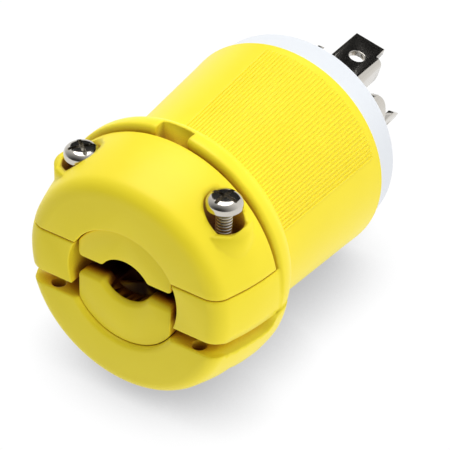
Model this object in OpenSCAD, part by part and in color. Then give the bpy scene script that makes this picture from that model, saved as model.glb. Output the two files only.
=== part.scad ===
// Locking power plug: a moulded shell with an integral cord grip, a screwed clamp cap with
// two jaws, and a mating face with four locking blades wired to screw terminals inside.
// The plug lies on its side. +Y runs along its axis from the cord to the blades, +Z is up
// through the clamp cap, and the origin is the centre of the mating face.

/* [Cord clamp] */
// Radius of the flat face at the cord end
nose_r = 22.2; // [20:0.1:22.5]
// Rounding between that face and the flared side
nose_fillet = 4.5; // [4:0.1:5.6]
// Outer radius at the wide end of the clamp
bell_r = 29.5; // [28.8:0.1:31]
// How far the flared side bulges past a straight line
bell_bulge = 0.45; // [0.1:0.05:0.8]
// Length of the clamp along the plug
clamp_len = 17.6; // [17:0.1:20]
// Radius of the round mouth that holds the jaws
mouth_r = 14.4; // [13.8:0.1:14.8]
// Height of the seam under the cap, above the plug's axis
seam_z = 6.5; // [5.5:0.1:7.5]
// Width of that seam
seam_gap = 0.25; // [0.1:0.05:0.4]
// Depth of the top of the side slots below the axis
slot_z = 5; // [4:0.1:5.6]
// Height of the side slots
slot_h = 3.7; // [3:0.1:4.4]
// How far the lower grip's mouth hangs below the round of the rest
grip_drop = 1.2; // [0.8:0.1:1.6]
// How far the lower grip's outside hangs below the round of the rest
belly_drop = 1.8; // [1.2:0.1:2]
// Depth of the flat along the lower grip's bottom, on which the plug rests
belly_flat = 0.4; // [0.2:0.1:0.8]
// Radius of the flat front of the lower grip
grip_nose_r = 23; // [22:0.1:24]
// Rounding between that front and the lower grip's side
grip_fillet = 3.5; // [2.5:0.1:4.5]
// Outer radius at the back of the lower grip
grip_end_r = 29.6; // [29.4:0.1:29.8]
// Rounding of the lower grip's mouth
lip_r = 1.4; // [0.8:0.1:1.8]
// Radius of the blind holes in the slot floors
peg_hole_r = 1.6; // [1.2:0.1:1.8]
// Depth of those blind holes
peg_hole_depth = 4; // [2:0.5:6]
// Distance of the blind holes from the cord-end face
peg_hole_y = 2.6; // [2.4:0.1:3.4]
// Distance of the blind holes from the plug's middle plane
peg_hole_x = 19; // [18:0.1:19.4]
// Rounding at the root of the lower grip, where it bends
root_r = 2.8; // [1:0.1:3.4]

/* [Clamp screws] */
// Half of the distance between the two clamp screws
screw_x = 18.6; // [18.2:0.1:19]
// Distance of the clamp screws from the cord-end face
screw_y = 11.3; // [11:0.1:11.8]
// Radius of the clamp screws' threads
screw_r = 2.05; // [1.9:0.05:2.1]
// Length of the clamp screws under the head
screw_len = 41; // [40:0.5:43]
// Radius of the pan heads
head_r = 4.1; // [3.8:0.1:4.2]
// Height of the pan heads
head_h = 2.8; // [2.4:0.1:3.2]
// Height of the right head's underside above the axis
right_head_z = 23.4; // [23:0.1:24]
// Height of the left head's underside above the axis
left_head_z = 21; // [20.6:0.1:22]
// Turn of the left head's slot
left_head_turn = 140; // [0:5:180]
// Turn of the right head's slot
right_head_turn = 85; // [0:5:180]
// Radius of the wells that the heads sink into
well_r = 4.5; // [4.4:0.05:4.7]
// Height of the well floors above the axis
well_floor_z = 13; // [11:0.5:15]
// Radius of the bosses round the wells
boss_r = 6.2; // [5.9:0.1:6.4]
// Height of the bosses' flat tops above the axis
boss_top_z = 19.2; // [18.6:0.1:19.8]
// Width of the captive nuts across their flats
nut_flats = 8.7; // [8:0.1:9]
// Height of the captive nuts
nut_h = 3.2; // [2.8:0.1:3.6]
// Height of the nut pockets' ceilings, below the axis
nut_seat_z = 14; // [13:0.1:14.6]

/* [Jaws] */
// Width of both jaws
jaw_w = 24.5; // [22:0.1:25]
// Depth of the jaws' front faces behind the cord-end face
jaw_inset = 1; // [0.6:0.1:1.4]
// Length of the jaws along the plug
jaw_len = 13; // [10:0.5:14]
// Height of the upper jaw's edge above the axis
upper_jaw_z = 3; // [2.8:0.1:4]
// Height of the lower jaw's edge below the axis
lower_jaw_z = 1.2; // [0.8:0.1:1.6]
// Radius of the shallow notches that centre the cord
jaw_notch_r = 7; // [6.5:0.1:7.4]
// Depth of those notches
jaw_notch_depth = 3.4; // [2.8:0.1:3.6]
// Rounding of the lower jaw's front edge
jaw_lip_r = 1.7; // [0.6:0.1:2]
// Width of the keys that hold the jaws along the plug
key_w = 8; // [6:0.5:9]

/* [Shell] */
// Outer radius of the raised rim behind the clamp
rim_r = 29.9; // [29.8:0.1:31.4]
// How far the rim's centre lies above the plug's axis
rim_lift = 1.1; // [0.4:0.1:1.2]
// Running gap between the clamp cap and the rim
rim_gap = 0.8; // [0.5:0.1:1.2]
// Length of the rim's crown
rim_crown = 2.2; // [1.5:0.1:3]
// Width of the notch in the top of the rim
notch_w = 8.2; // [7:0.1:9.5]
// Depth of that notch along the plug
notch_depth = 3.2; // [2:0.1:3.6]
// Outer radius of the barrel where it leaves the rim
barrel_front_r = 25; // [24.8:0.1:25.6]
// Outer radius of the barrel at the mating end
barrel_back_r = 28; // [27.4:0.1:28.6]
// Distance from the cord-end face to the end of the barrel
barrel_end = 66.3; // [64:0.1:69]
// Thickness of the barrel's wall behind the rim
barrel_wall = 3.2; // [2.6:0.1:3.4]
// Radius of the throat between the clamp and the wiring space
throat_r = 12.6; // [11:0.1:13.4]
// Angle that each ribbed panel covers
panel_angle = 78; // [50:1:90]
// Direction of the upper ribbed panel's middle
panel_at = 59; // [50:1:65]
// Angle from one grip rib to the next
rib_step = 2; // [1.5:0.25:4]
// Height of the grip ribs
rib_h = 0.25; // [0.2:0.05:0.5]

/* [Mating end] */
// Distance from the cord-end face to the mating face
body_len = 75; // [74:0.1:78]
// Outer radius of the face where it meets the barrel
face_r = 27.4; // [26.8:0.1:27.8]
// Outer radius of the face at its front edge
face_front_r = 26.6; // [26:0.1:27]
// Rounding of the front edge
face_fillet = 1.8; // [1:0.1:2.4]
// Radius of the bore that holds the face and the terminal block
seat_r = 23.2; // [22.8:0.1:23.6]
// Distance from the cord-end face to the back of the terminal block
block_y = 43.6; // [43:0.1:45]
// Distance from the cord-end face to the joint of block and face
joint_y = 60; // [59.5:0.1:61]
// Distance of the two assembly screws from the axis
assembly_pcd_r = 19.4; // [19:0.1:19.6]
// Radius of the assembly screws' threads
assembly_r = 1.75; // [1.5:0.05:1.9]

/* [Blades] */
// Distance from the mating face to the blade tips
blade_len = 27.6; // [25:0.1:30]
// Distance from the axis to the middle of each blade's sheet
blade_r = 12.6; // [12.4:0.1:12.8]
// Thickness of the blade sheet
blade_t = 1.6; // [1.4:0.05:1.7]
// Width of the ground blade's flat
ground_w = 8.4; // [8:0.1:8.8]
// Inner radius of the bend between that flat and its leg
bend_r = 0.4; // [0.2:0.1:0.6]
// Width of the curved blades at the root
blade_w = 13.2; // [11:0.1:13.4]
// Direction of the ground blade
ground_at = 77; // [74:1:80]
// Length of the hooked tips
hook_len = 4.2; // [3.5:0.1:5.5]
// Undercut behind the hooked tips
hook_cut = 1.9; // [1.2:0.1:2.4]
// Length of the undercut along the curved blades
hook_gap = 2.4; // [2:0.1:3.5]
// Width of the curved blades' tips
head_w = 4.5; // [4:0.1:5]
// Length by which those tips stand past the rounded shoulder
head_len = 8.8; // [7:0.1:9.6]
// Rounding of the shoulder
shoulder_r = 4; // [2:0.1:4.5]
// Slant of the tips' corner across the blade
slant_w = 2.6; // [1:0.1:3]
// Slant of the tips' corner along the blade
slant_len = 3.8; // [2:0.1:5]
// Length of the ground blade's inward leg
leg_len = 6; // [5:0.1:6.4]
// Rounding of that leg's inner corner
leg_corner_r = 1.6; // [1:0.1:2]
// Radius of the hole in the ground blade
blade_hole_r = 2; // [1.6:0.1:2.2]
// Distance of that hole from the blade's tip
blade_hole_y = 8; // [7:0.1:9]
// Distance of that hole from the middle of the flat, towards the leg
blade_hole_x = 0.7; // [0:0.1:1.2]

/* [Terminals] */
// Distance of the terminal screws from the cord-end face
terminal_y = 53.6; // [53.2:0.1:54]
// Radius of the terminal screws' threads
terminal_r = 1.9; // [1.7:0.05:2]
// Radius of the terminal screws' heads
terminal_head_r = 3.2; // [3:0.1:3.3]
// Width of the blades' tails and of the wire clamps
tail_w = 7.4; // [7:0.1:7.5]
// Open space for a wire between a tail and its clamp
wire_gap = 3.6; // [3:0.1:3.8]
// Thickness of the wire clamps
wire_clamp_t = 2.2; // [2:0.1:2.4]
// Radius of the wire holes in the terminal block
wire_hole_r = 3; // [2.4:0.1:3]

/* [Fits] */
// Clearance round the jaws, the face and the block in their seats
seat_gap = 0.15; // [0.1:0.05:0.25]
// Clearance of a screw in a plain hole
hole_gap = 0.35; // [0.2:0.05:0.45]
// Clearance of a thread in its nut or tapped hole
thread_gap = 0.05; // [0.03:0.01:0.1]

/* [Hidden] */

$fn = 96;
past = 1;                                  // how far a cut runs past a face
yellow = [0.97, 0.88, 0.20];
nickel = [0.70, 0.70, 0.68];
blade_y = body_len + blade_len;            // blade tips
rim_y = clamp_len + rim_gap;               // front of the rim
crown_end = rim_y + rim_crown;             // where the rim starts to fall to the barrel
rim_fall = rim_r - barrel_front_r;         // radius of that fall
barrel_y = crown_end + rim_fall;           // where the barrel starts
barrel_slope = (barrel_back_r - barrel_front_r) / (barrel_end - barrel_y);
grip_top_z = -slot_z - slot_h;             // top of the lower grip
jaw_back = jaw_inset + jaw_len;
key_front = jaw_inset + 5;                 // the key that holds each jaw
key_len = 4;
key_h = 1.6;
sill_len = 4;                              // the lower jaw's sill, and the floor behind it
jaw_floor_cut = 2.2;
bite_rib_h = 2.4;                          // ribs on that floor
bite_rib_t = 1.2;
rib_turn = 35;
neck_y = jaw_back + 3;                     // back of the mouth, front of the throat
wire_y = barrel_y + 0.5;                   // front of the wiring space
wire_r = barrel_front_r - barrel_wall;     // radius of the wiring space
boss_in_r = assembly_r + 1.9;              // bosses that take the assembly screws
assembly_at = 42;                          // between the ground and neutral blades
tail_y = block_y + 4.4;                    // back end of the blade tails
pocket_in = blade_r - blade_t / 2 - wire_gap - wire_clamp_t - 0.4;
ground_flat = blade_r + blade_t / 2;       // outer face of the ground blade
// Directions of the four blades: ground, neutral, line 1, line 2
blade_at = [ground_at, 0, 180, -90];

// Points of an arc in a plane, from one angle to another
function arc(cx, cy, r, from, to, n = 8) =
    [for (i = [0:n]) let (a = from + (to - from) * i / n) [cx + r * cos(a), cy + r * sin(a)]];

// Points of a line that bulges sideways, without its two ends
function bowed(a, b, bulge, n = 6) =
    [for (i = [1:n - 1]) let (t = i / n) a + (b - a) * t + [bulge * sin(180 * t), 0]];

// Outer radius of the barrel at a distance from the cord-end face
function barrel_at(y) = barrel_front_r + barrel_slope * (y - barrel_y);

// Moves the plug so that its mating face is at the origin
module in_frame() {
    translate([0, -body_len, 0]) children();
}

// A solid of revolution about the plug's axis, from [radius, y] points
module turned(profile) {
    rotate([-90, 0, 0]) rotate_extrude() polygon(profile);
}

// A round bar along the plug
module rod(r, y0, y1, x = 0, z = 0) {
    translate([x, y0, z]) rotate([-90, 0, 0]) cylinder(r = r, h = y1 - y0);
}

// A flat outline in X and Z, given thickness along the plug
module slab(y0, y1) {
    translate([0, y1, 0]) rotate([90, 0, 0]) linear_extrude(y1 - y0) children();
}

// Turns a piece that is drawn at +X round to a direction seen from the cord end
module facing(angle) {
    rotate([0, -angle, 0]) children();
}

// A box between two corners
module block(low, high) {
    translate(low) cube(high - low);
}

// ---------- Forms that shell and cap share ----------

// The flared, round-nosed body of the cord clamp: its nose, its rounding, its wide end, and
// what follows behind that
module bell(nose, fillet, end_r, tail) {
    side_start = [nose + fillet * cos(14), fillet * (1 - sin(14))];
    side_end = [end_r, clamp_len];
    turned(concat(
        [[0, 0]],
        arc(nose, fillet, fillet, -90, -14, 7),
        bowed(side_start, side_end, bell_bulge),
        [side_end],
        tail
    ));
}

// The bell of the cap and the middle blocks, up to a given length
module upper_bell(len) {
    bell(nose_r, nose_fillet, bell_r, len > clamp_len
        ? [[bell_r, len], [0, len]] : [[0, len]]);
}

// The rounded fall from a crown of a given radius to the barrel
function fall(r) = concat(
    arc(barrel_front_r, crown_end, r - barrel_front_r, 0, 86, 8),
    [[barrel_front_r - 2, crown_end + r - barrel_front_r], [0, crown_end + r - barrel_front_r]]
);

// A vertical hole or bar at one clamp screw; side is -1 or 1
module at_screw(side, z0, z1, r, sides = 48) {
    translate([side * screw_x, screw_y, z0]) cylinder(r = r, h = z1 - z0, $fn = sides);
}

// ---------- Shell ----------

module shell_outside() {
    // Barrel
    turned([
        [0, rim_y + past], [barrel_front_r, rim_y + past], [barrel_front_r, barrel_y],
        [barrel_back_r, barrel_end - 0.6], [barrel_back_r - 0.6, barrel_end], [0, barrel_end]
    ]);
    // Rim, a little above the plug's axis
    translate([0, 0, rim_lift]) turned(concat(
        [[0, rim_y], [rim_r - 1, rim_y]],
        arc(rim_r - 1, rim_y + 1, 1, -90, 0, 4),
        fall(rim_r)
    ));
    // Middle blocks of the clamp, on both sides of the mouth
    intersection() {
        upper_bell(crown_end);
        block([-rim_r, 0, grip_top_z], [rim_r, crown_end, seam_z]);
    }
    // Lower grip, joined to the shell at the back
    intersection() {
        translate([0, 0, -belly_drop]) bell(grip_nose_r, grip_fillet, grip_end_r, fall(grip_end_r));
        block([-rim_r, -past, belly_flat - belly_drop - grip_end_r], [rim_r, barrel_y, -slot_z]);
    }
    grip_ribs(panel_at);
    grip_ribs(panel_at + 180);
}

// Fine ribs along the barrel, in one panel
module grip_ribs(middle) {
    start = barrel_y + 1;
    len = barrel_end - start - 4;
    for (a = [-panel_angle / 2:rib_step:panel_angle / 2])
        facing(middle + a)
            translate([barrel_at(start) - 1, start, -rib_w() / 2])
                rotate([0, 0, -atan(barrel_slope)])
                    cube([1 + rib_h, len, rib_w()]);
}

// Ribs and the grooves between them are equally wide
function rib_w() = barrel_front_r * PI / 180 * rib_step / 2;

module shell_inside() {
    // Mouth between the middle blocks, then a lower one in the grip
    intersection() {
        rod(mouth_r, -past, neck_y);
        block([-mouth_r, -past, grip_top_z], [mouth_r, neck_y, mouth_r + 1]);
    }
    intersection() {
        translate([0, 0, -grip_drop]) grip_mouth();
        block([-nose_r, -past, -nose_r], [nose_r, neck_y, grip_top_z + 0.01]);
    }
    rod(throat_r, -past, wire_y + past);
    turned([[0, wire_y], [wire_r, wire_y], [wire_r, block_y + past], [0, block_y + past]]);
    rod(seat_r, block_y, barrel_end + past);
    // Slot for the lower jaw's key
    translate([0, 0, -grip_drop]) mirror([0, 0, 1]) key_slot();
    // Slots that free the lower grip from the middle blocks, rounded at the grip's root
    translate([-rim_r, 0, 0]) rotate([90, 0, 90]) linear_extrude(2 * rim_r) polygon(concat(
        [[-past, -slot_z], [-past, grip_top_z]],
        arc(clamp_len - root_r, grip_top_z + root_r, root_r, -90, 0, 6),
        [[clamp_len, -slot_z]]
    ));
    // The front above the seam belongs to the clamp cap
    block([-rim_r, -past, seam_z], [rim_r, rim_y, rim_r]);
    // Notch in the front of the rim
    difference() {
        block([-notch_w / 2, rim_y - past, 0],
              [notch_w / 2, rim_y + notch_depth, rim_r + rim_lift + past]);
        rod(barrel_front_r, rim_y - 2 * past, barrel_y + past);
    }
}

// Mouth of the lower grip with its rounded lip
module grip_mouth() {
    turned(concat(
        [[0, -past], [mouth_r + lip_r, -past]],
        arc(mouth_r + lip_r, lip_r, lip_r, -90, -180, 6),
        [[mouth_r, neck_y], [0, neck_y]]
    ));
}

module shell() {
    color(yellow) difference() {
        union() {
            difference() {
                shell_outside();
                shell_inside();
            }
            // Bosses for the assembly screws, standing against the barrel's wall
            for (turn = [0, 180])
                facing(assembly_at + turn)
                    intersection() {
                        rod(boss_in_r, wire_y - past, block_y - seat_gap, assembly_pcd_r);
                        rod(wire_r + past, wire_y - past, block_y - seat_gap);
                    }
        }
        for (turn = [0, 180])
            facing(assembly_at + turn)
                rod(assembly_r + thread_gap, assembly_tip() - 2, block_y + past, assembly_pcd_r);
        for (side = [-1, 1]) {
            at_screw(side, nut_top_z() - past, seam_z + past, screw_r + hole_gap);
            nut_pocket(side);
            translate([side * peg_hole_x, peg_hole_y, grip_top_z - peg_hole_depth])
                cylinder(r = peg_hole_r, h = peg_hole_depth + past, $fn = 48);
        }
    }
}

function nut_top_z() = -nut_seat_z;
function assembly_tip() = block_y - 9;

// Pocket for a captive nut, open at the bottom of the lower grip
module nut_pocket(side) {
    translate([side * screw_x, screw_y, -rim_r - 3])
        rotate([0, 0, 30])
            cylinder(r = (nut_flats / 2 + seat_gap) / cos(30), h = rim_r + 3 + nut_top_z(), $fn = 6);
}

// ---------- Clamp cap and jaws ----------

module clamp_cap() {
    base_z = seam_z + seam_gap;
    color(yellow) difference() {
        union() {
            intersection() {
                upper_bell(clamp_len);
                block([-rim_r, 0, base_z], [rim_r, clamp_len, rim_r]);
            }
            for (side = [-1, 1])
                at_screw(side, base_z, boss_top_z, boss_r, 96);
        }
        rod(mouth_r, -past, clamp_len + past);
        key_slot();
        for (side = [-1, 1]) {
            at_screw(side, well_floor_z, rim_r + past, well_r);
            at_screw(side, base_z - past, well_floor_z + past, screw_r + hole_gap);
        }
    }
}

// The key on a jaw's round back, and the slot that holds it
module jaw_key() {
    block([-key_w / 2, key_front, mouth_r - 2], [key_w / 2, key_front + key_len, mouth_r + key_h]);
}

module key_slot() {
    block([-key_w / 2 - seat_gap, key_front - seat_gap, 0],
          [key_w / 2 + seat_gap, key_front + key_len + seat_gap, mouth_r + key_h + seat_gap]);
}

// Outline of a jaw that opens downwards: a round back, straight sides and a centring notch
module jaw_outline(edge_z) {
    notch_z = edge_z + jaw_notch_depth - jaw_notch_r;
    offset(r = 1.1, $fn = 24) offset(delta = -1.1) difference() {
        intersection() {
            circle(r = mouth_r - seat_gap, $fn = 72);
            translate([-jaw_w / 2, edge_z]) square([jaw_w, mouth_r]);
        }
        translate([0, notch_z]) circle(r = jaw_notch_r, $fn = 48);
    }
}

module upper_jaw() {
    color(yellow) {
        slab(jaw_inset, jaw_back) jaw_outline(upper_jaw_z);
        jaw_key();
    }
}

// The lower jaw has a rounded front sill, and crossed ribs that bite into the cord behind it
module lower_jaw() {
    edge_z = lower_jaw_z - grip_drop;
    color(yellow) translate([0, 0, -grip_drop]) mirror([0, 0, 1]) {
        difference() {
            slab(jaw_inset, jaw_inset + sill_len) jaw_outline(edge_z);
            sill_rounding(edge_z);
        }
        slab(jaw_inset + sill_len - 0.01, jaw_back) jaw_outline(edge_z + jaw_floor_cut);
        bite_ribs(edge_z);
        jaw_key();
    }
}

// What the rounding takes off the sill's front edge: round the notch, then along the straights
module sill_rounding(edge_z) {
    // the arc's centre is a little short of tangent, so that its ends cut cleanly
    centre = jaw_lip_r - 0.06;
    profile = concat(
        [[-past, -past], [centre, -past]],
        arc(centre, centre, jaw_lip_r, -90, -180, 6),
        [[-past, centre]]
    );
    translate([0, jaw_inset, edge_z + jaw_notch_depth - jaw_notch_r])
        turned([for (p = profile) p + [jaw_notch_r, 0]]);
    translate([-jaw_w / 2, jaw_inset, edge_z])
        rotate([0, 90, 0]) linear_extrude(jaw_w) polygon([for (p = profile) [-p[0], p[1]]]);
}

// Two ribs that cross over the lower jaw's floor
module bite_ribs(edge_z) {
    y0 = jaw_inset + sill_len;
    depth = jaw_back - y0;
    floor_z = edge_z + jaw_notch_depth + jaw_floor_cut;
    intersection() {
        union() for (turn = [-rib_turn, rib_turn])
            translate([0, y0 + depth / 2, floor_z - bite_rib_h])
                rotate([0, 0, turn])
                    translate([-jaw_notch_r, -bite_rib_t / 2, 0])
                        cube([2 * jaw_notch_r, bite_rib_t, mouth_r - floor_z]);
        slab(y0, jaw_back) circle(r = mouth_r - past);
    }
}

// ---------- Clamp screws and nuts ----------

// A pan-head screw with a combination cross and slot recess, head up, thread down to z = -len
module pan_screw(r, head_radius, head_height, len) {
    difference() {
        union() {
            cylinder(r = r, h = len, $fn = 48);
            translate([0, 0, len]) rotate_extrude($fn = 64) polygon(concat(
                [[0, 0], [head_radius, 0]],
                [for (i = [0:6]) let (a = i * 15)
                    [head_radius * (0.45 + 0.55 * cos(a)), head_height * (0.35 + 0.65 * sin(a))]],
                [[0, head_height]]
            ));
        }
        recess = head_height * 0.6;
        translate([0, 0, len + head_height - recess]) {
            translate([-head_radius * 1.1, -head_radius * 0.12, 0])
                cube([head_radius * 2.2, head_radius * 0.24, recess + past]);
            translate([-head_radius * 0.14, -head_radius * 0.5, -recess * 0.3])
                cube([head_radius * 0.28, head_radius, recess * 1.3 + past]);
        }
    }
}

module clamp_screw(side, head_z, turn) {
    color(nickel)
        translate([side * screw_x, screw_y, head_z - screw_len])
            rotate([0, 0, turn]) pan_screw(screw_r, head_r, head_h, screw_len);
}

module clamp_nut(side) {
    color(nickel)
        translate([side * screw_x, screw_y, nut_top_z() - nut_h]) difference() {
            rotate([0, 0, 30]) cylinder(r = nut_flats / 2 / cos(30), h = nut_h, $fn = 6);
            translate([0, 0, -past])
                cylinder(r = screw_r + thread_gap, h = nut_h + 2 * past, $fn = 48);
        }
}

// ---------- Mating face, terminal block and assembly screws ----------

// Outline of a curved blade laid flat: X across the blade, Y from its tail to its tip
module blade_outline() {
    w = blade_w / 2;
    shoulder = blade_y - head_len;
    notch = blade_y - hook_len;
    polygon(concat(
        [[-w, joint_y - 2], [w, joint_y - 2]],
        arc(w - shoulder_r, shoulder - shoulder_r, shoulder_r, 0, 90, 8),
        [[-w + head_w, shoulder], [-w + head_w, blade_y - slant_len],
         [-w + head_w - slant_w, blade_y], [-w, blade_y], [-w, notch],
         [-w + hook_cut, notch], [-w + hook_cut, notch - hook_gap], [-w, notch - hook_gap]]
    ));
}

// A curved blade at +X, rolled to the blade circle
module curved_blade() {
    intersection() {
        difference() {
            rod(blade_r + blade_t / 2, joint_y - 3, blade_y + past);
            rod(blade_r - blade_t / 2, joint_y - 4, blade_y + 2 * past);
        }
        // the outline faces outwards, with its hook towards -Z
        rotate([0, 90, 0]) linear_extrude(blade_r + blade_t) mirror([1, 0]) blade_outline();
    }
}

// Section of the ground blade at +X: a flat, a bend and a leg that points inwards
module ground_section(grow = 0) {
    bend = bend_r + blade_t;
    offset(delta = grow) difference() {
        union() {
            translate([ground_flat - blade_t, -ground_w / 2]) square([blade_t, ground_w]);
            translate([ground_flat - bend, -ground_w / 2]) circle(r = bend, $fn = 64);
            translate([ground_flat - leg_len, -ground_w / 2 - bend])
                square([leg_len - bend, bend]);
        }
        translate([ground_flat - bend, -ground_w / 2]) circle(r = bend_r, $fn = 32);
        translate([ground_flat - leg_len - 1, -ground_w / 2 - bend_r])
            square([leg_len + 1 - bend, bend]);
        translate([ground_flat - leg_len - 1, -ground_w / 2])
            square([leg_len + 1 - blade_t, bend + 1]);
    }
}

// The ground blade outside the terminal block; the flat alone runs on to the hooked tip
module ground_form() {
    notch = blade_y - hook_len;
    difference() {
        slab(joint_y - 2, notch) ground_section();
        translate([ground_flat - leg_len, notch, -ground_w]) difference() {
            block([-past, -leg_corner_r, 0], [leg_corner_r, past, ground_w]);
            translate([leg_corner_r, -leg_corner_r, -past])
                cylinder(r = leg_corner_r, h = ground_w + 2 * past, $fn = 48);
        }
    }
    block([ground_flat - blade_t, notch - past, -ground_w / 2],
          [ground_flat, blade_y, ground_w / 2]);
}

// Tail of a blade inside the terminal block, at +X
module blade_tail() {
    difference() {
        block([blade_r - blade_t / 2, tail_y, -tail_w / 2],
              [blade_r + blade_t / 2, joint_y - 1, tail_w / 2]);
        translate([0, terminal_y, 0]) rotate([0, 90, 0])
            cylinder(r = terminal_r + hole_gap, h = blade_r * 2, $fn = 32);
    }
}

module ground_blade() {
    color(nickel) facing(blade_at[0]) difference() {
        union() {
            ground_form();
            blade_tail();
        }
        translate([0, blade_y - blade_hole_y, -blade_hole_x]) rotate([0, 90, 0])
            cylinder(r = blade_hole_r, h = blade_r * 2, $fn = 48);
    }
}

module side_blade(place) {
    color(nickel) facing(blade_at[place]) union() {
        curved_blade();
        blade_tail();
    }
}

module mating_face() {
    color([0.93, 0.94, 0.95]) difference() {
        union() {
            turned(concat(
                [[0, barrel_end], [face_r, barrel_end]],
                arc(face_front_r - face_fillet, body_len - face_fillet, face_fillet, 0, 90, 6),
                [[0, body_len]]
            ));
            rod(seat_r - seat_gap, joint_y, barrel_end);
        }
        // Slots for the blades
        facing(blade_at[0])
            slab(joint_y - past, body_len + past) ground_section(seat_gap);
        for (i = [1:3])
            facing(blade_at[i]) intersection() {
                difference() {
                    rod(blade_r + blade_t / 2 + seat_gap, joint_y - past, body_len + past);
                    rod(blade_r - blade_t / 2 - seat_gap, joint_y - 2 * past, body_len + 2 * past);
                }
                block([0, joint_y - past, -blade_w / 2 - seat_gap],
                      [blade_r * 2, body_len + past, blade_w / 2 + seat_gap]);
            }
        // Holes and counterbores for the assembly screws
        for (turn = [0, 180])
            facing(assembly_at + turn) {
                rod(assembly_r + hole_gap, joint_y - past, body_len + past, assembly_pcd_r);
                rod(assembly_head_r() + hole_gap, body_len - 3.4, body_len + past, assembly_pcd_r);
            }
    }
}

function assembly_head_r() = assembly_r * 2;

module terminal_block() {
    color([0.18, 0.18, 0.19]) difference() {
        rod(seat_r - seat_gap, block_y, joint_y);
        for (direction = blade_at)
            facing(direction) terminal_space();
        for (turn = [0, 180])
            facing(assembly_at + turn)
                rod(assembly_r + hole_gap, block_y - past, joint_y + past, assembly_pcd_r);
    }
}

// The space in the block for one terminal, at +X
module terminal_space() {
    wall = tail_w / 2 + seat_gap + 0.1;
    // pocket for the tail and its wire clamp, open towards the face
    block([pocket_in, tail_y - 0.2, -wall],
          [blade_r + blade_t / 2 + seat_gap, joint_y + past, wall]);
    // room for the blade's root
    block([blade_r - leg_len, joint_y - 2.3, -blade_w / 2 - 0.2],
          [blade_r + blade_t / 2 + seat_gap, joint_y + past, blade_w / 2 + 0.2]);
    // screw tip, and the hole that a screwdriver reaches through
    translate([pocket_in - 1.6, terminal_y, 0]) rotate([0, 90, 0])
        cylinder(r = terminal_r + hole_gap, h = blade_r, $fn = 32);
    translate([blade_r, terminal_y, 0]) rotate([0, 90, 0])
        cylinder(r = terminal_head_r + hole_gap, h = seat_r, $fn = 48);
    // wire hole from the back, with a funnel
    rod(wire_hole_r, block_y - past, tail_y, wire_r_at());
    translate([wire_r_at(), block_y - 0.01, 0]) rotate([-90, 0, 0])
        cylinder(r1 = wire_hole_r + 1, r2 = wire_hole_r, h = 1.2, $fn = 48);
}

// Distance of the wire holes from the axis
function wire_r_at() = blade_r - blade_t / 2 - wire_gap / 2;

module assembly_screws() {
    color(nickel) for (turn = [0, 180])
        facing(assembly_at + turn)
            translate([assembly_pcd_r, assembly_tip(), 0]) rotate([-90, 0, 0])
                pan_screw(assembly_r, assembly_head_r(), 2.4, body_len - 3.4 - assembly_tip());
}

// ---------- Terminals ----------

// The plate that the terminal screw draws against the wire
module wire_clamp(place) {
    out = blade_r - blade_t / 2 - wire_gap;
    color(nickel) facing(blade_at[place]) difference() {
        block([out - wire_clamp_t, tail_y, -tail_w / 2], [out, joint_y - 1.2, tail_w / 2]);
        translate([out - wire_clamp_t - past, terminal_y, 0]) rotate([0, 90, 0])
            cylinder(r = terminal_r + thread_gap, h = wire_clamp_t + 2 * past, $fn = 32);
    }
}

module terminal_screw(place, tint) {
    len = blade_t + wire_gap + wire_clamp_t + 1.4;
    color(tint) facing(blade_at[place])
        translate([blade_r + blade_t / 2 - len, terminal_y, 0]) rotate([0, 90, 0])
            pan_screw(terminal_r, terminal_head_r, 2.4, len);
}

in_frame() shell();
in_frame() clamp_cap();
in_frame() upper_jaw();
in_frame() lower_jaw();
in_frame() clamp_screw(-1, left_head_z, left_head_turn);  // clamp_screw_left
in_frame() clamp_screw(1, right_head_z, right_head_turn);  // clamp_screw_right
in_frame() clamp_nut(-1);  // clamp_nut_left
in_frame() clamp_nut(1);  // clamp_nut_right
in_frame() mating_face();
in_frame() terminal_block();
in_frame() assembly_screws();
in_frame() ground_blade();
in_frame() side_blade(1);  // neutral_blade
in_frame() side_blade(2);  // line_blade_1
in_frame() side_blade(3);  // line_blade_2
in_frame() wire_clamp(0);  // ground_wire_clamp
in_frame() wire_clamp(1);  // neutral_wire_clamp
in_frame() wire_clamp(2);  // line_wire_clamp_1
in_frame() wire_clamp(3);  // line_wire_clamp_2
in_frame() terminal_screw(0, [0.15, 0.5, 0.25]);  // ground_terminal_screw
in_frame() terminal_screw(1, [0.80, 0.80, 0.80]);  // neutral_terminal_screw
in_frame() terminal_screw(2, [0.80, 0.65, 0.30]);  // line_terminal_screw_1
in_frame() terminal_screw(3, [0.80, 0.65, 0.30]);  // line_terminal_screw_2
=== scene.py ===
"""A locking power plug lying on a white sheet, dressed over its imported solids."""
import math

import bmesh
import bpy
from mathutils import Matrix, Vector


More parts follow.
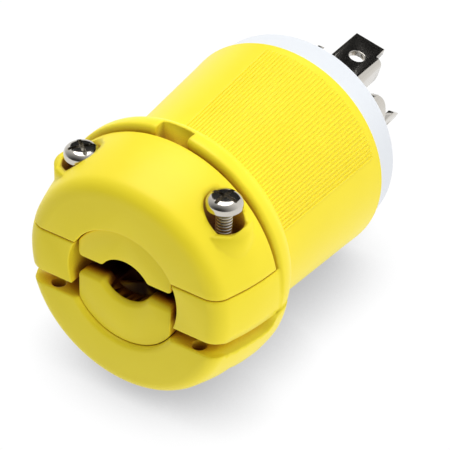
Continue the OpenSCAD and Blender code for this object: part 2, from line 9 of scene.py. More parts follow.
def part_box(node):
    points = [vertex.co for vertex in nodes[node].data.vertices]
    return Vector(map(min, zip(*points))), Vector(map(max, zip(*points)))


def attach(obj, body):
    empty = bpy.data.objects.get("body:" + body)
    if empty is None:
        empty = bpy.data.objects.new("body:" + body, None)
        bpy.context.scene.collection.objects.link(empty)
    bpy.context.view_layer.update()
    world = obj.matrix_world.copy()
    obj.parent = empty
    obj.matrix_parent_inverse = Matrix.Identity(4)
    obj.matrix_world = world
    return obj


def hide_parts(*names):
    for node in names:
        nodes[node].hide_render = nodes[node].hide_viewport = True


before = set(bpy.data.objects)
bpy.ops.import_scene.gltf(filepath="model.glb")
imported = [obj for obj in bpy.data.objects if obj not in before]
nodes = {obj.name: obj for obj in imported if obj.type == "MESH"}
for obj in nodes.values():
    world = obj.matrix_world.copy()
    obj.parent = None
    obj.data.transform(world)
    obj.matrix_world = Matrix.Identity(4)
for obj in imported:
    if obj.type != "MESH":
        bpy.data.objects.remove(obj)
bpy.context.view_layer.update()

# ---------- Camera ----------
# A long lens looks down on the cord end from the front right.
# It aims at the middle of the plug's axis, which sits a little off the centre of the view.
azimuth, elevation, roll = (math.radians(a) for a in (31.65, 36.79, 2.31))
aim = Vector((0, -0.037, 0))
distance, aim_right, aim_up = 0.46185, 0.00191, -0.00479
back = Vector((math.sin(azimuth) * math.cos(elevation),
               -math.cos(azimuth) * math.cos(elevation),
               math.sin(elevation)))
level = back.cross(Vector((0, 0, -1))).normalized()
upright = back.cross(level)
right = level * math.cos(roll) + upright * math.sin(roll)
up = upright * math.cos(roll) - level * math.sin(roll)
camera = bpy.data.objects.new("camera", bpy.data.cameras.new("camera"))
camera.data.sensor_width = 36
camera.data.lens = 159.96
camera.data.clip_start, camera.data.clip_end = 0.01, 20
camera.matrix_world = Matrix.Translation(
    aim + back * distance + right * aim_right + up * aim_up
) @ Matrix((right, up, back)).transposed().to_4x4()
bpy.context.scene.collection.objects.link(camera)
bpy.context.scene.camera = camera

# ---------- Studio ----------
# A white sheet under a broad overhead light, in a white room that is darker in front.
# The plug lies on its lower grip and the edge of its barrel, so the floor leans to touch both.
outline = [v.co for name in ("shell", "mating_face") for v in nodes[name].data.vertices]
lowest = min(outline, key=lambda co: co.z)
grip_reach = 0.02
lean = min((co.z - lowest.z) / (co.y - lowest.y) for co in outline
           if co.y > lowest.y + grip_reach)
square = ((-1, -1), (1, -1), (1, 1), (-1, 1))
reach = 6
floor_mesh = bpy.data.meshes.new("floor")
floor_mesh.from_pydata(
    [(x * reach, lowest.y + y * reach, lowest.z + lean * y * reach) for x, y in square],
    [], [(0, 1, 2, 3)])
floor = bpy.data.objects.new("floor", floor_mesh)
bpy.context.scene.collection.objects.link(floor)


def new_material(name, colour, roughness):
    """Returns a new material with its node tree and its shader."""
    material = bpy.data.materials.new(name)
    material.use_nodes = True
    tree = material.node_tree
    shader = tree.nodes["Principled BSDF"]
    shader.inputs["Base Color"].default_value = (*colour, 1)
    shader.inputs["Roughness"].default_value = roughness
    return material, tree, shader


def white_sheet():
    """Glowing white with a painted shadow: it greys a little where the plug is near, by ambient
    occlusion.
    """
    material, tree, shader = new_material("white_sheet", (1, 1, 1), 1)
    tree.nodes.remove(shader)
    painted_shadow = tree.nodes.new("ShaderNodeAmbientOcclusion")
    painted_shadow.samples = 16
    painted_shadow.inputs["Distance"].default_value = 0.020
    # The painted shadow fades from this grey near the plug to white
    ramp = tree.nodes.new("ShaderNodeValToRGB")
    ramp.color_ramp.interpolation = "EASE"
    ramp.color_ramp.elements[0].color = (0.44, 0.44, 0.445, 1)
    ramp.color_ramp.elements[1].color = (1.02, 1.02, 1.02, 1)
    ramp.color_ramp.elements[1].position = 0.93
    glow = tree.nodes.new("ShaderNodeEmission")
    tree.links.new(painted_shadow.outputs["AO"], ramp.inputs["Fac"])
    tree.links.new(ramp.outputs["Color"], glow.inputs["Color"])
    tree.links.new(glow.outputs[0], tree.nodes["Material Output"].inputs["Surface"])
    return material


# The sheet glows white with its painted shadow, and casts no shadow of its own
floor_mesh.materials.append(white_sheet())
floor.visible_shadow = False

world = bpy.data.worlds.new("room")
bpy.context.scene.world = world
world.use_nodes = True
tree = world.node_tree
tree.nodes.clear()
rays = tree.nodes.new("ShaderNodeLightPath")
# The camera sees plain white; the plug is lit by a room that is bright behind and black below
direction = tree.nodes.new("ShaderNodeTexCoord")
axes = tree.nodes.new("ShaderNodeSeparateXYZ")
tree.links.new(direction.outputs["Generated"], axes.inputs[0])
front_to_back = tree.nodes.new("ShaderNodeMapRange")
front_to_back.inputs["From Min"].default_value = -0.9
front_to_back.inputs["From Max"].default_value = 0.5
front_to_back.inputs["To Min"].default_value = 0.05
front_to_back.inputs["To Max"].default_value = 0.95
tree.links.new(axes.outputs["Y"], front_to_back.inputs["Value"])
above = tree.nodes.new("ShaderNodeMath")
above.operation = "GREATER_THAN"
above.inputs[1].default_value = 0
tree.links.new(axes.outputs["Z"], above.inputs[0])
bright = tree.nodes.new("ShaderNodeMath")
bright.operation = "MULTIPLY"
tree.links.new(front_to_back.outputs["Result"], bright.inputs[0])
tree.links.new(above.outputs[0], bright.inputs[1])
fill = tree.nodes.new("ShaderNodeBackground")
tree.links.new(bright.outputs[0], fill.inputs["Strength"])
fill.inputs["Color"].default_value = (1, 1, 1, 1)
white = tree.nodes.new("ShaderNodeBackground")
white.inputs["Color"].default_value = (1, 1, 1, 1)
mix = tree.nodes.new("ShaderNodeMixShader")
output = tree.nodes.new("ShaderNodeOutputWorld")
tree.links.new(rays.outputs["Is Camera Ray"], mix.inputs[0])
tree.links.new(fill.outputs[0], mix.inputs[1])
tree.links.new(white.outputs[0], mix.inputs[2])
tree.links.new(mix.outputs[0], output.inputs[0])


def disk_lamp(name, size, energy, place):
    """Adds a round lamp that faces the middle of the plug."""
    lamp = bpy.data.lights.new(name, "AREA")
    lamp.shape = "DISK"
    lamp.size = size
    lamp.energy = energy
    light = bpy.data.objects.new(name, lamp)
    light.matrix_world = Matrix.Translation(place) @ (
        place - aim).to_track_quat("Z", "Y").to_matrix().to_4x4()
    bpy.context.scene.collection.objects.link(light)
    return light


# The broad lamp hangs overhead, and a weaker one fills the shade on the right and in front
disk_lamp("key_light", 0.9, 7, Vector((-0.15, 0.15, 1.0)))
side_light = disk_lamp("side_light", 0.6, 1.6, Vector((0.80, -0.30, 0.22)))
side_light.visible_glossy = False

# A dark card above and behind the plug shows only in reflections
card_half_width, card_half_height = 0.50, 0.32
card_middle = Vector((-0.22, 0.55, 0.50))
card_facing = Vector((0.3, -0.68, -0.65)).normalized()
card_side = card_facing.cross(Vector((0, 0, 1))).normalized() * card_half_width
card_rise = card_side.cross(card_facing).normalized() * card_half_height
card_mesh = bpy.data.meshes.new("dark_card")
card_mesh.from_pydata(
    [card_middle + card_side * a + card_rise * b for a, b in square],
    [], [(0, 1, 2, 3)])
black_card, tree, shader = new_material("black_card", (0.004, 0.004, 0.004), 1.0)
shader.inputs["Specular IOR Level"].default_value = 0
card_mesh.materials.append(black_card)
card = bpy.data.objects.new("dark_card", card_mesh)
card.visible_camera = card.visible_diffuse = card.visible_shadow = False
bpy.context.scene.collection.objects.link(card)

bpy.context.scene.view_settings.view_transform = "Standard"


# ---------- Shell ----------
# One moulding of yellow nylon, coloured through, holds the lower grip, the rim and the barrel.
# Its skin has a fine spark-eroded grain, and the mould breaks its edges.
# The barrel is smoothed here, because its fine ribs are made as pieces of their own.
def add_grain(tree, shader, scale, roughness, spread, depth):
    """Adds fine bumps and a slight change of gloss to a surface.

    It returns the bump and the broad patches, so that other nodes can use them.
    """
    place = tree.nodes.new("ShaderNodeTexCoord")
    grain = tree.nodes.new("ShaderNodeTexNoise")
    grain.inputs["Scale"].default_value = scale
    grain.inputs["Detail"].default_value = 4
    tree.links.new(place.outputs["Object"], grain.inputs["Vector"])
    bump = tree.nodes.new("ShaderNodeBump")
    bump.inputs["Strength"].default_value = 1
    bump.inputs["Distance"].default_value = depth
    tree.links.new(grain.outputs["Fac"], bump.inputs["Height"])
    tree.links.new(bump.outputs["Normal"], shader.inputs["Normal"])
    patches = tree.nodes.new("ShaderNodeTexNoise")
    patches.inputs["Scale"].default_value = scale / 40
    patches.inputs["Detail"].default_value = 3
    tree.links.new(place.outputs["Object"], patches.inputs["Vector"])
    gloss = tree.nodes.new("ShaderNodeMapRange")
    gloss.inputs["To Min"].default_value = roughness - spread
    gloss.inputs["To Max"].default_value = roughness + spread
    tree.links.new(patches.outputs["Fac"], gloss.inputs["Value"])
    tree.links.new(gloss.outputs["Result"], shader.inputs["Roughness"])
    return bump, patches


def yellow_nylon():
    """The yellow skin, with softened edges, painted red-brown shade in its hollows and painted shade
    in its throat.
    """
    material, tree, shader = new_material("yellow_nylon", (0.97, 0.80, 0.03), 0.36)
    bump, patches = add_grain(tree, shader, 5000, 0.36, 0.06, 0.000012)
    rounding = tree.nodes.new("ShaderNodeBevel")
    rounding.samples = 6
    rounding.inputs["Radius"].default_value = 0.0003
    tree.links.new(rounding.outputs["Normal"], bump.inputs["Normal"])
    # The pigment varies very slightly from place to place
    tint = tree.nodes.new("ShaderNodeMix")
    tint.data_type = "RGBA"
    tint.inputs["A"].default_value = (0.95, 0.775, 0.027, 1)
    tint.inputs["B"].default_value = (0.985, 0.82, 0.036, 1)
    tree.links.new(patches.outputs["Fac"], tint.inputs["Factor"])
    # Painted shade: ambient occlusion darkens hollow places to red-brown in the base colour, standing
    # in for light that meets yellow twice and turns orange
    painted_hollow_shade = tree.nodes.new("ShaderNodeAmbientOcclusion")
    painted_hollow_shade.samples = 6
    painted_hollow_shade.inputs["Distance"].default_value = 0.06
    # The painted shade is darkest in the deepest hollows and fades to none in the open
    ramp = tree.nodes.new("ShaderNodeValToRGB")
    ramp.color_ramp.elements[0].position = 0.03
    ramp.color_ramp.elements[0].color = (0.08, 0.01, 0.1, 1)
    ramp.color_ramp.elements[1].position = 0.5
    ramp.color_ramp.elements[1].color = (1, 1, 1, 1)
    for position, tone in ((0.13, (0.50, 0.16, 0.6, 1)), (0.28, (0.88, 0.68, 0.7, 1))):
        ramp.color_ramp.elements.new(position).color = tone
    tree.links.new(painted_hollow_shade.outputs["AO"], ramp.inputs["Fac"])
    shade = tree.nodes.new("ShaderNodeMix")
    shade.data_type = "RGBA"
    shade.blend_type = "MULTIPLY"
    shade.inputs["Factor"].default_value = 1
    tree.links.new(tint.outputs["Result"], shade.inputs["A"])
    tree.links.new(ramp.outputs["Color"], shade.inputs["B"])
    # Painted shade: the throat, within 12.8 mm of the axis, darkens inwards from the cord end to a
    # dark maroon base colour
    place = tree.nodes.new("ShaderNodeTexCoord")
    axes = tree.nodes.new("ShaderNodeSeparateXYZ")
    tree.links.new(place.outputs["Object"], axes.inputs[0])
    across = tree.nodes.new("ShaderNodeCombineXYZ")
    tree.links.new(axes.outputs["X"], across.inputs["X"])
    tree.links.new(axes.outputs["Z"], across.inputs["Z"])
    radius = tree.nodes.new("ShaderNodeVectorMath")
    radius.operation = "LENGTH"
    tree.links.new(across.outputs[0], radius.inputs[0])
    outside = tree.nodes.new("ShaderNodeMath")
    outside.operation = "GREATER_THAN"
    outside.inputs[1].default_value = 0.0128
    tree.links.new(radius.outputs["Value"], outside.inputs[0])
    inwards = tree.nodes.new("ShaderNodeMapRange")
    inwards.inputs["From Min"].default_value = -0.0715
    inwards.inputs["From Max"].default_value = -0.0670
    inwards.inputs["To Min"].default_value = 1
    inwards.inputs["To Max"].default_value = 0.04
    tree.links.new(axes.outputs["Y"], inwards.inputs["Value"])
    # How much of the base colour stays against the painted throat shade
    light = tree.nodes.new("ShaderNodeMath")
    light.operation = "MAXIMUM"
    tree.links.new(outside.outputs[0], light.inputs[0])
    tree.links.new(inwards.outputs["Result"], light.inputs[1])
    painted_throat_shade = tree.nodes.new("ShaderNodeMix")
    painted_throat_shade.data_type = "RGBA"
    painted_throat_shade.inputs["A"].default_value = (0.045, 0.010, 0.010, 1)
    tree.links.new(light.outputs[0], painted_throat_shade.inputs["Factor"])
    tree.links.new(shade.outputs["Result"], painted_throat_shade.inputs["B"])
    tree.links.new(painted_throat_shade.outputs["Result"], shader.inputs["Base Color"])
    shader.inputs["Specular IOR Level"].default_value = 0.22
    return material


yellow = yellow_nylon()


def softened(node, width, keep, reshape=None):
    """Returns a copy of a CAD mesh whose outer edges are rounded where keep(middle) is true."""
    weld, shortest_edge = 0.000002, 0.00012
    flat_angle, sharp_angle = math.radians(0.5), math.radians(28)
    mesh = nodes[node].data.copy()
    work = bmesh.new()
    work.from_mesh(mesh)
    bmesh.ops.remove_doubles(work, verts=work.verts, dist=weld)
    if reshape:
        reshape(work)
    bmesh.ops.dissolve_limit(work, angle_limit=flat_angle, verts=work.verts, edges=work.edges)
    bmesh.ops.dissolve_degenerate(work, dist=shortest_edge, edges=work.edges)
    weight = work.edges.layers.float.new("bevel_weight_edge")
    for edge in work.edges:
        middle = (edge.verts[0].co + edge.verts[1].co) / 2
        sharp = edge.is_manifold and edge.is_convex and edge.calc_face_angle() > sharp_angle
        edge[weight] = float(sharp and keep(middle))
    for face in work.faces:
        face.smooth = True
    work.to_mesh(mesh)
    work.free()
    piece = bpy.data.objects.new(node + "_piece", mesh)
    bpy.context.scene.collection.objects.link(piece)
    bevel = piece.modifiers.new("edges", "BEVEL")
    bevel.limit_method = "WEIGHT"
    bevel.width = width
    bevel.segments = 3
    bevel.use_clamp_overlap = False
    bevel.harden_normals = True
    bevel.miter_outer = "MITER_ARC"
    return finished(piece)


def finished(piece):
    """Turns an object with modifiers into a plain mesh."""
    shaped = piece.evaluated_get(bpy.context.evaluated_depsgraph_get())
    mesh = bpy.data.meshes.new_from_object(shaped)
    piece.modifiers.clear()
    piece.data = mesh
    return piece


def dress(piece, material, slot, *replaced):
    """Gives a piece its finish and lets it take the place of CAD nodes."""
    piece.data.materials.clear()
    piece.data.materials.append(material)
    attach(piece, "root")
    if replaced:
        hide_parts(*replaced)


body_len = 0.075
barrel_start, barrel_stop = 0.0255 - body_len, 0.0663 - body_len
start_r, stop_r = 0.0250, 0.0280
barrel_rise = (stop_r - start_r) / (barrel_stop - barrel_start)


def barrel_radius(y):
    """The radius of the barrel's skin, which widens towards the mating face."""
    return start_r + barrel_rise * (y - barrel_start)


def take_ribs_off(work):
    """Sets the solid ribs' corners back on the barrel's skin and merges them there."""
    ribs_start, ribs_stop = barrel_start + 0.0008, barrel_stop - 0.002
    proud, weld = 0.00001, 0.00002
    for vert in work.verts:
        radius = math.hypot(vert.co.x, vert.co.z)
        skin = barrel_radius(vert.co.y)
        if ribs_start < vert.co.y < ribs_stop and radius > skin + proud:
            vert.co.x *= skin / radius
            vert.co.z *= skin / radius
    bmesh.ops.remove_doubles(work, verts=work.verts, dist=weld)


def round_skin(piece):
    """Shades the barrel's skin as one smooth cone."""
    end_slack, skin_slack = 0.0001, 0.00006
    mesh = piece.data
    normals = [corner.vector.copy() for corner in mesh.corner_normals]
    for face in mesh.polygons:
        for corner in face.loop_indices:
            at = mesh.vertices[mesh.loops[corner].vertex_index].co
            across = math.hypot(at.x, at.z)
            outwards = Vector((at.x, -barrel_rise * across, at.z)).normalized()
            in_length = barrel_start - end_slack < at.y < barrel_stop + end_slack
            on_skin = in_length and abs(across - barrel_radius(at.y)) < skin_slack
            if on_skin and face.normal.dot(outwards) > 0.9:
                normals[corner] = outwards
    mesh.normals_split_custom_set(normals)


def rounded_by_mould(at):
    """Leaves out the barrel and the thin corners where the slots end in the rim."""
    slot_end = abs(at.x) > 0.0255 and -0.014 < at.z < 0
    return at.y < barrel_start and not slot_end


shell = softened("shell", 0.00035, rounded_by_mould, take_ribs_off)
round_skin(shell)
dress(shell, yellow, "yellow_nylon", "shell")


# ---------- Grip ribs ----------
# Two panels of fine lengthwise ribs give fingers a hold on the barrel.
# Each rib is moulded with the shell, as a low rounded bar 0.21 mm above the barrel's skin.
def add_input(group, name, kind):
    """Adds a named input to a Geometry Nodes group."""
    group.interface.new_socket(name, in_out="INPUT", socket_type=kind)


def fill_group(piece, group, **values):
    """Puts a Geometry Nodes group on a piece and sets its named inputs."""
    modifier = piece.modifiers.new(group.name, "NODES")
    modifier.node_group = group
    for item in group.interface.items_tree:
        key = item.name.lower().replace(" ", "_")
        if item.in_out == "INPUT" and key in values:
            modifier[item.identifier] = values[key]
    return finished(piece)


def rib_group():
    """A fan of straight ribs round the barrel's axis."""
    group = bpy.data.node_groups.new("grip_ribs", "GeometryNodeTree")
    group.interface.new_socket("Geometry", in_out="OUTPUT", socket_type="NodeSocketGeometry")
    add_input(group, "Count", "NodeSocketInt")
    for name in ("First angle", "Step angle", "Start y", "End y", "Start radius", "End radius",
                 "Height", "Width"):
        add_input(group, name, "NodeSocketFloat")
    add_input(group, "Finish", "NodeSocketMaterial")
    link = group.links.new
    given = group.nodes.new("NodeGroupInput").outputs
    # One rib, on the +X side of the barrel
    ends = []
    for end in ("Start", "End"):
        point = group.nodes.new("ShaderNodeCombineXYZ")
        link(given[end + " radius"], point.inputs["X"])
        link(given[end + " y"], point.inputs["Y"])
        ends.append(point.outputs[0])
    line = group.nodes.new("GeometryNodeCurvePrimitiveLine")
    link(ends[0], line.inputs["Start"])
    link(ends[1], line.inputs["End"])
    ring = group.nodes.new("GeometryNodeCurvePrimitiveCircle")
    ring.inputs["Resolution"].default_value = 12
    ring.inputs["Radius"].default_value = 1
    half = group.nodes.new("ShaderNodeMath")
    half.operation = "MULTIPLY"
    half.inputs[1].default_value = 0.5
    link(given["Width"], half.inputs[0])
    flat = group.nodes.new("ShaderNodeCombineXYZ")
    link(given["Height"], flat.inputs["X"])
    link(half.outputs[0], flat.inputs["Y"])
    flat.inputs["Z"].default_value = 1
    oval = group.nodes.new("GeometryNodeTransform")
    link(ring.outputs["Curve"], oval.inputs["Geometry"])
    link(flat.outputs[0], oval.inputs["Scale"])
    bar = group.nodes.new("GeometryNodeCurveToMesh")
    bar.inputs["Fill Caps"].default_value = True
    link(line.outputs[0], bar.inputs["Curve"])
    link(oval.outputs[0], bar.inputs["Profile Curve"])
    # Turned round the barrel, one step at a time
    points = group.nodes.new("GeometryNodePoints")
    link(given["Count"], points.inputs["Count"])
    index = group.nodes.new("GeometryNodeInputIndex")
    angle = group.nodes.new("ShaderNodeMath")
    angle.operation = "MULTIPLY_ADD"
    link(index.outputs[0], angle.inputs[0])
    link(given["Step angle"], angle.inputs[1])
    link(given["First angle"], angle.inputs[2])
    negative = group.nodes.new("ShaderNodeMath")
    negative.operation = "MULTIPLY"
    negative.inputs[1].default_value = -1
    link(angle.outputs[0], negative.inputs[0])
    turn = group.nodes.new("ShaderNodeCombineXYZ")
    link(negative.outputs[0], turn.inputs["Y"])
    copies = group.nodes.new("GeometryNodeInstanceOnPoints")
    link(points.outputs[0], copies.inputs["Points"])
    link(bar.outputs[0], copies.inputs["Instance"])
    link(turn.outputs[0], copies.inputs["Rotation"])
    real = group.nodes.new("GeometryNodeRealizeInstances")
    link(copies.outputs[0], real.inputs[0])
    smooth = group.nodes.new("GeometryNodeSetShadeSmooth")
    link(real.outputs[0], smooth.inputs[0])
    finish = group.nodes.new("GeometryNodeSetMaterial")
    link(smooth.outputs[0], finish.inputs["Geometry"])
    link(given["Finish"], finish.inputs["Material"])
    link(finish.outputs[0], group.nodes.new("NodeGroupOutput").inputs[0])
    return group


def empty_piece(name):
    """Adds a piece that has no mesh yet."""
    piece = bpy.data.objects.new(name, bpy.data.meshes.new(name))
    bpy.context.scene.collection.objects.link(piece)
    return piece


ribs = rib_group()
rib_start, rib_stop = barrel_start + 0.001, barrel_stop - 0.0028
rib_height, rib_width = 0.00021, 0.00062
panel_angle, rib_step = 78, 2
for name, panel_at in (("upper_ribs", 59), ("lower_ribs", 239)):
    panel = fill_group(
        empty_piece(name), ribs,
        count=panel_angle // rib_step + 1,
        first_angle=math.radians(panel_at - panel_angle / 2), step_angle=math.radians(rib_step),
        start_y=rib_start, end_y=rib_stop,
        start_radius=barrel_radius(rib_start), end_radius=barrel_radius(rib_stop),
        height=rib_height, width=rib_width, finish=yellow)
    dress(panel, yellow, "yellow_nylon")

# ---------- Clamp cap ----------
# The cap is a separate nylon moulding that two screws pull down on the cord.
# Its edges are rounded by the mould, and a boss stands round each screw well.
boss_reach = 0.0062
screw_boxes = [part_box("clamp_screw_" + side) for side in ("left", "right")]
screw_places = [((low[0] + high[0]) / 2, (low[1] + high[1]) / 2) for low, high in screw_boxes]


def clear_of_wells(at):
    """Leaves out the thin edges round the wells, which the finish softens."""
    return all(math.hypot(at.x - x, at.y - y) > boss_reach for x, y in screw_places)


cap = softened("clamp_cap", 0.0004, clear_of_wells)
dress(cap, yellow, "yellow_nylon", "clamp_cap")

# ---------- Jaws ----------
# Two loose jaws sit in the round mouth, each held by a key in its slot.
# They are nylon too, and the lower one has a rounded sill and crossed ribs that bite the cord.
jaw_lip = 0.0045
for name, width in (("upper_jaw", 0.0004), ("lower_jaw", 0.00025)):
    jaw = softened(name, width, lambda at: at.y < -body_len + jaw_lip)
    dress(jaw, yellow, "yellow_nylon", name)


# ---------- Clamp screws ----------
# Two pan-head machine screws of bright nickel-plated steel pull cap and grip together.
# The heads are cold-formed with a wide cross recess, and the threads are rolled.
def nickel_plate():
    material, tree, shader = new_material("nickel_plate", (0.60, 0.57, 0.51), 0.14)
    shader.inputs["Metallic"].default_value = 1
    add_grain(tree, shader, 2500, 0.15, 0.07, 0.000006)
    return material


nickel = nickel_plate()


def lathe(work, profile, steps):
    """Adds a solid of revolution about Z from [radius, height] points that start and end at 0."""
    rings = []
    for radius, height in profile:
        if radius == 0:
            rings.append([work.verts.new((0, 0, height))])
        else:
            rings.append([work.verts.new((radius * math.cos(a), radius * math.sin(a), height))
                          for a in (2 * math.pi * i / steps for i in range(steps))])
    for low, high in zip(rings, rings[1:]):
        for i in range(steps):
            j = (i + 1) % steps
            corners = [low[i % len(low)], low[j % len(low)], high[j % len(high)], high[i % len(high)]]
            work.faces.new(list(dict.fromkeys(corners)))
    bmesh.ops.recalc_face_normals(work, faces=work.faces)


def arm(work, length, width, floor_z, top_z, turn):
    """Adds one arm of a recess cutter: a bar with round ends that is wider at the top."""
    outline = []
    for side in (0, 1):
        for i in range(9):
            a = math.pi * side - math.pi / 2 + math.pi * i / 8
            outline.append((width / 2 * math.cos(a) + (length - width / 2) * (1 - 2 * side),
                            width / 2 * math.sin(a)))
    spin = Matrix.Rotation(turn, 3, "Z")
    floor_scale, top_scale = 0.92, 1.04
    rows = [[work.verts.new(spin @ Vector((x * scale, y * scale, z))) for x, y in outline]
            for z, scale in ((floor_z, floor_scale), (top_z, top_scale))]
    count = len(outline)
    for i in range(count):
        j = (i + 1) % count
        work.faces.new((rows[0][i], rows[0][j], rows[1][j], rows[1][i]))
    work.faces.new(list(reversed(rows[0])))
    work.faces.new(rows[1])


def mesh_piece(name, build, *values):
    """Makes a smooth-shaded piece from what build adds to an empty mesh."""
    piece = empty_piece(name)
    work = bmesh.new()
    build(work, *values)
    for face in work.faces:
        face.smooth = True
    work.to_mesh(piece.data)
    work.free()
    return piece


def pan_head(name, head_r, head_h, turn):
    """A domed head on z = 0 with a cross recess whose first arm points along turn."""
    lip = 0.0002
    arm_length = head_r * 0.80
    dome = [(head_r * (0.45 + 0.55 * math.cos(a)), head_h * (0.35 + 0.65 * math.sin(a)))
            for a in (math.radians(6 * i) for i in range(15))]
    profile = [(0, 0), (head_r - lip, 0), (head_r, lip), *dome, (0, head_h)]
    head = mesh_piece(name, lathe, profile, 96)
    # The second arm is a little narrower and deeper, so that no two faces of the cuts coincide
    arms = ((turn, 0.25, 0.42), (turn + math.pi / 2, 0.23, 0.36))
    for direction, width, floor_share in arms:
        cutter = mesh_piece("cutter", arm, arm_length, head_r * width,
                            head_h * floor_share, head_h * 1.3, direction)
        cut = head.modifiers.new("recess", "BOOLEAN")
        cut.operation = "DIFFERENCE"
        cut.solver = "EXACT"
        cut.object = cutter
        finished(head)
        bpy.data.objects.remove(cutter)
    edges = head.modifiers.new("edges", "BEVEL")
    edges.width = 0.00010
    edges.segments = 2
    edges.limit_method = "ANGLE"
    edges.angle_limit = math.radians(40)
    edges.harden_normals = True
    return finished(head)


def thread_group():
    """A round core with a ridge wound along it, standing on z = 0."""
    group = bpy.data.node_groups.new("rolled_thread", "GeometryNodeTree")
    group.interface.new_socket("Geometry", in_out="OUTPUT", socket_type="NodeSocketGeometry")
    for name in ("Radius", "Depth", "Pitch", "Length"):
        add_input(group, name, "NodeSocketFloat")
    add_input(group, "Finish", "NodeSocketMaterial")
    link = group.links.new
    given = group.nodes.new("NodeGroupInput").outputs

    def maths(operation, first, second):
        node = group.nodes.new("ShaderNodeMath")
        node.operation = operation
        for slot, value in enumerate((first, second)):
            if isinstance(value, (int, float)):
                node.inputs[slot].default_value = value
            else:
                link(value, node.inputs[slot])
        return node.outputs[0]

    # The ridge: a small hexagon swept along a helix
    root = maths("SUBTRACT", given["Radius"], given["Depth"])
    path_r = maths("SUBTRACT", given["Radius"], maths("MULTIPLY", given["Depth"], 1.02))
    helix = group.nodes.new("GeometryNodeCurveSpiral")
    helix.inputs["Resolution"].default_value = 28
    link(maths("DIVIDE", maths("SUBTRACT", given["Length"], given["Pitch"]), given["Pitch"]),
         helix.inputs["Rotations"])
    link(path_r, helix.inputs["Start Radius"])
    link(path_r, helix.inputs["End Radius"])
    link(maths("SUBTRACT", given["Length"], given["Pitch"]), helix.inputs["Height"])
    upright = group.nodes.new("GeometryNodeSetCurveNormal")
    upright.mode = "Z_UP"
    link(helix.outputs[0], upright.inputs["Curve"])
    ridge = group.nodes.new("GeometryNodeCurvePrimitiveCircle")
    ridge.inputs["Resolution"].default_value = 6
    link(given["Depth"], ridge.inputs["Radius"])
    thread = group.nodes.new("GeometryNodeCurveToMesh")
    thread.inputs["Fill Caps"].default_value = True
    link(upright.outputs[0], thread.inputs["Curve"])
    link(ridge.outputs["Curve"], thread.inputs["Profile Curve"])
    rise = group.nodes.new("ShaderNodeCombineXYZ")
    link(maths("MULTIPLY", given["Pitch"], 0.5), rise.inputs["Z"])
    lift = group.nodes.new("GeometryNodeTransform")
    link(thread.outputs[0], lift.inputs["Geometry"])
    link(rise.outputs[0], lift.inputs["Translation"])
    # The core that carries it
    core = group.nodes.new("GeometryNodeMeshCylinder")
    core.inputs["Vertices"].default_value = 40
    link(root, core.inputs["Radius"])
    link(given["Length"], core.inputs["Depth"])
    middle = group.nodes.new("ShaderNodeCombineXYZ")
    link(maths("MULTIPLY", given["Length"], 0.5), middle.inputs["Z"])
    stand = group.nodes.new("GeometryNodeTransform")
    link(core.outputs["Mesh"], stand.inputs["Geometry"])
    link(middle.outputs[0], stand.inputs["Translation"])
    both = group.nodes.new("GeometryNodeJoinGeometry")
    link(stand.outputs[0], both.inputs[0])
    link(lift.outputs[0], both.inputs[0])
    real = group.nodes.new("GeometryNodeRealizeInstances")
    link(both.outputs[0], real.inputs[0])
    finish = group.nodes.new("GeometryNodeSetMaterial")
    link(real.outputs[0], finish.inputs["Geometry"])
    link(given["Finish"], finish.inputs["Material"])
    link(finish.outputs[0], group.nodes.new("NodeGroupOutput").inputs[0])
    return group


def join(target, parts):
    """Adds the meshes of other pieces to one piece and removes those pieces."""
    work = bmesh.new()
    for part in (target, *parts):
        work.from_mesh(part.data)
    work.to_mesh(target.data)
    work.free()
    for part in parts:
        bpy.data.objects.remove(part)
    return target


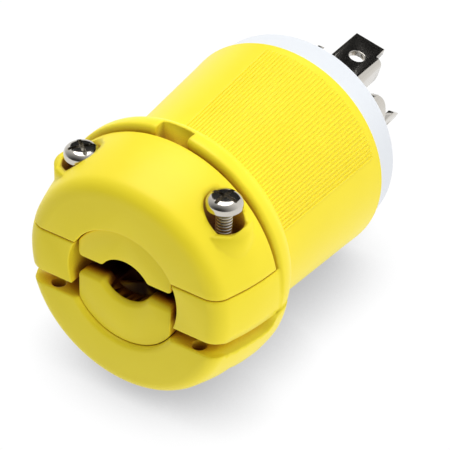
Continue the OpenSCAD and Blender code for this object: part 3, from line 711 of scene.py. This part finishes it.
threads = thread_group()
head_h = 0.0028
thread_r, thread_depth, thread_pitch = 0.00204, 0.00032, 0.0008
head_overlap = 0.0001
for side, turn in (("left", 140), ("right", 85)):
    node = "clamp_screw_" + side
    low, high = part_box(node)
    head_r = (high[0] - low[0]) / 2
    middle_x, middle_y = (low[0] + high[0]) / 2, (low[1] + high[1]) / 2
    seat_z = high[2] - head_h
    head = pan_head(node + "_piece", head_r, head_h, math.radians(turn))
    head.data.transform(Matrix.Translation((middle_x, middle_y, seat_z)))
    shank = fill_group(
        empty_piece("shank"), threads,
        radius=thread_r, depth=thread_depth, pitch=thread_pitch,
        length=seat_z - low[2] + head_overlap, finish=nickel)
    shank.data.transform(Matrix.Translation((middle_x, middle_y, low[2])))
    dress(join(head, [shank]), nickel, "nickel_plate", node)


# ---------- Mating face ----------
# A disc moulded in white nylon closes the barrel and carries the blades.
# It has a rounded front edge, and two assembly screws hold it in place.
def coat(name, material):
    """Gives a CAD node a finish and leaves its shape alone."""
    finishes = nodes[name].data.materials
    finishes.clear()
    finishes.append(material)


white_nylon, tree, shader = new_material("white_nylon", (0.74, 0.77, 0.81), 0.38)
add_grain(tree, shader, 5000, 0.40, 0.06, 0.00001)
coat("mating_face", white_nylon)

# ---------- Terminal block ----------
# The black block behind the face holds the blades' tails and their wire clamps.
# It is hidden inside the barrel, apart from what shows through the throat.
black_nylon, tree, shader = new_material("black_nylon", (0.02, 0.02, 0.022), 0.5)
add_grain(tree, shader, 5000, 0.5, 0.06, 0.00001)
coat("terminal_block", black_nylon)


# ---------- Blades ----------
# The four blades are stamped from brass strip and nickel-plated, with slightly dulled edges.
# The ground blade is folded once, and the other three are curved with hooked tips.
def plated_brass():
    material, tree, shader = new_material("plated_brass", (0.60, 0.57, 0.52), 0.12)
    shader.inputs["Metallic"].default_value = 1
    add_grain(tree, shader, 1500, 0.13, 0.05, 0.000004)
    return material


plated = plated_brass()
for name in ("ground_blade", "neutral_blade", "line_blade_1", "line_blade_2"):
    blade = softened(name, 0.00018, lambda at: at.y > 0)
    dress(blade, plated, "plated_brass", name)

# ---------- Inner hardware ----------
# Wire clamps, nuts and terminal screws lie inside the body, and two assembly screws run through
# it from the mating face. They are stock steel and brass parts, and keep their solids' shapes.
green = new_material("green_screw", (0.04, 0.20, 0.07), 0.35)[0]
brass, tree, shader = new_material("brass_screw", (0.62, 0.42, 0.14), 0.25)
shader.inputs["Metallic"].default_value = 1
for name in nodes:
    if "wire_clamp" in name:
        finish = plated
    elif name == "ground_terminal_screw":
        finish = green
    elif name.startswith("line_terminal_screw"):
        finish = brass
    elif "nut" in name or "screw" in name:
        finish = nickel
    else:
        continue
    coat(name, finish)
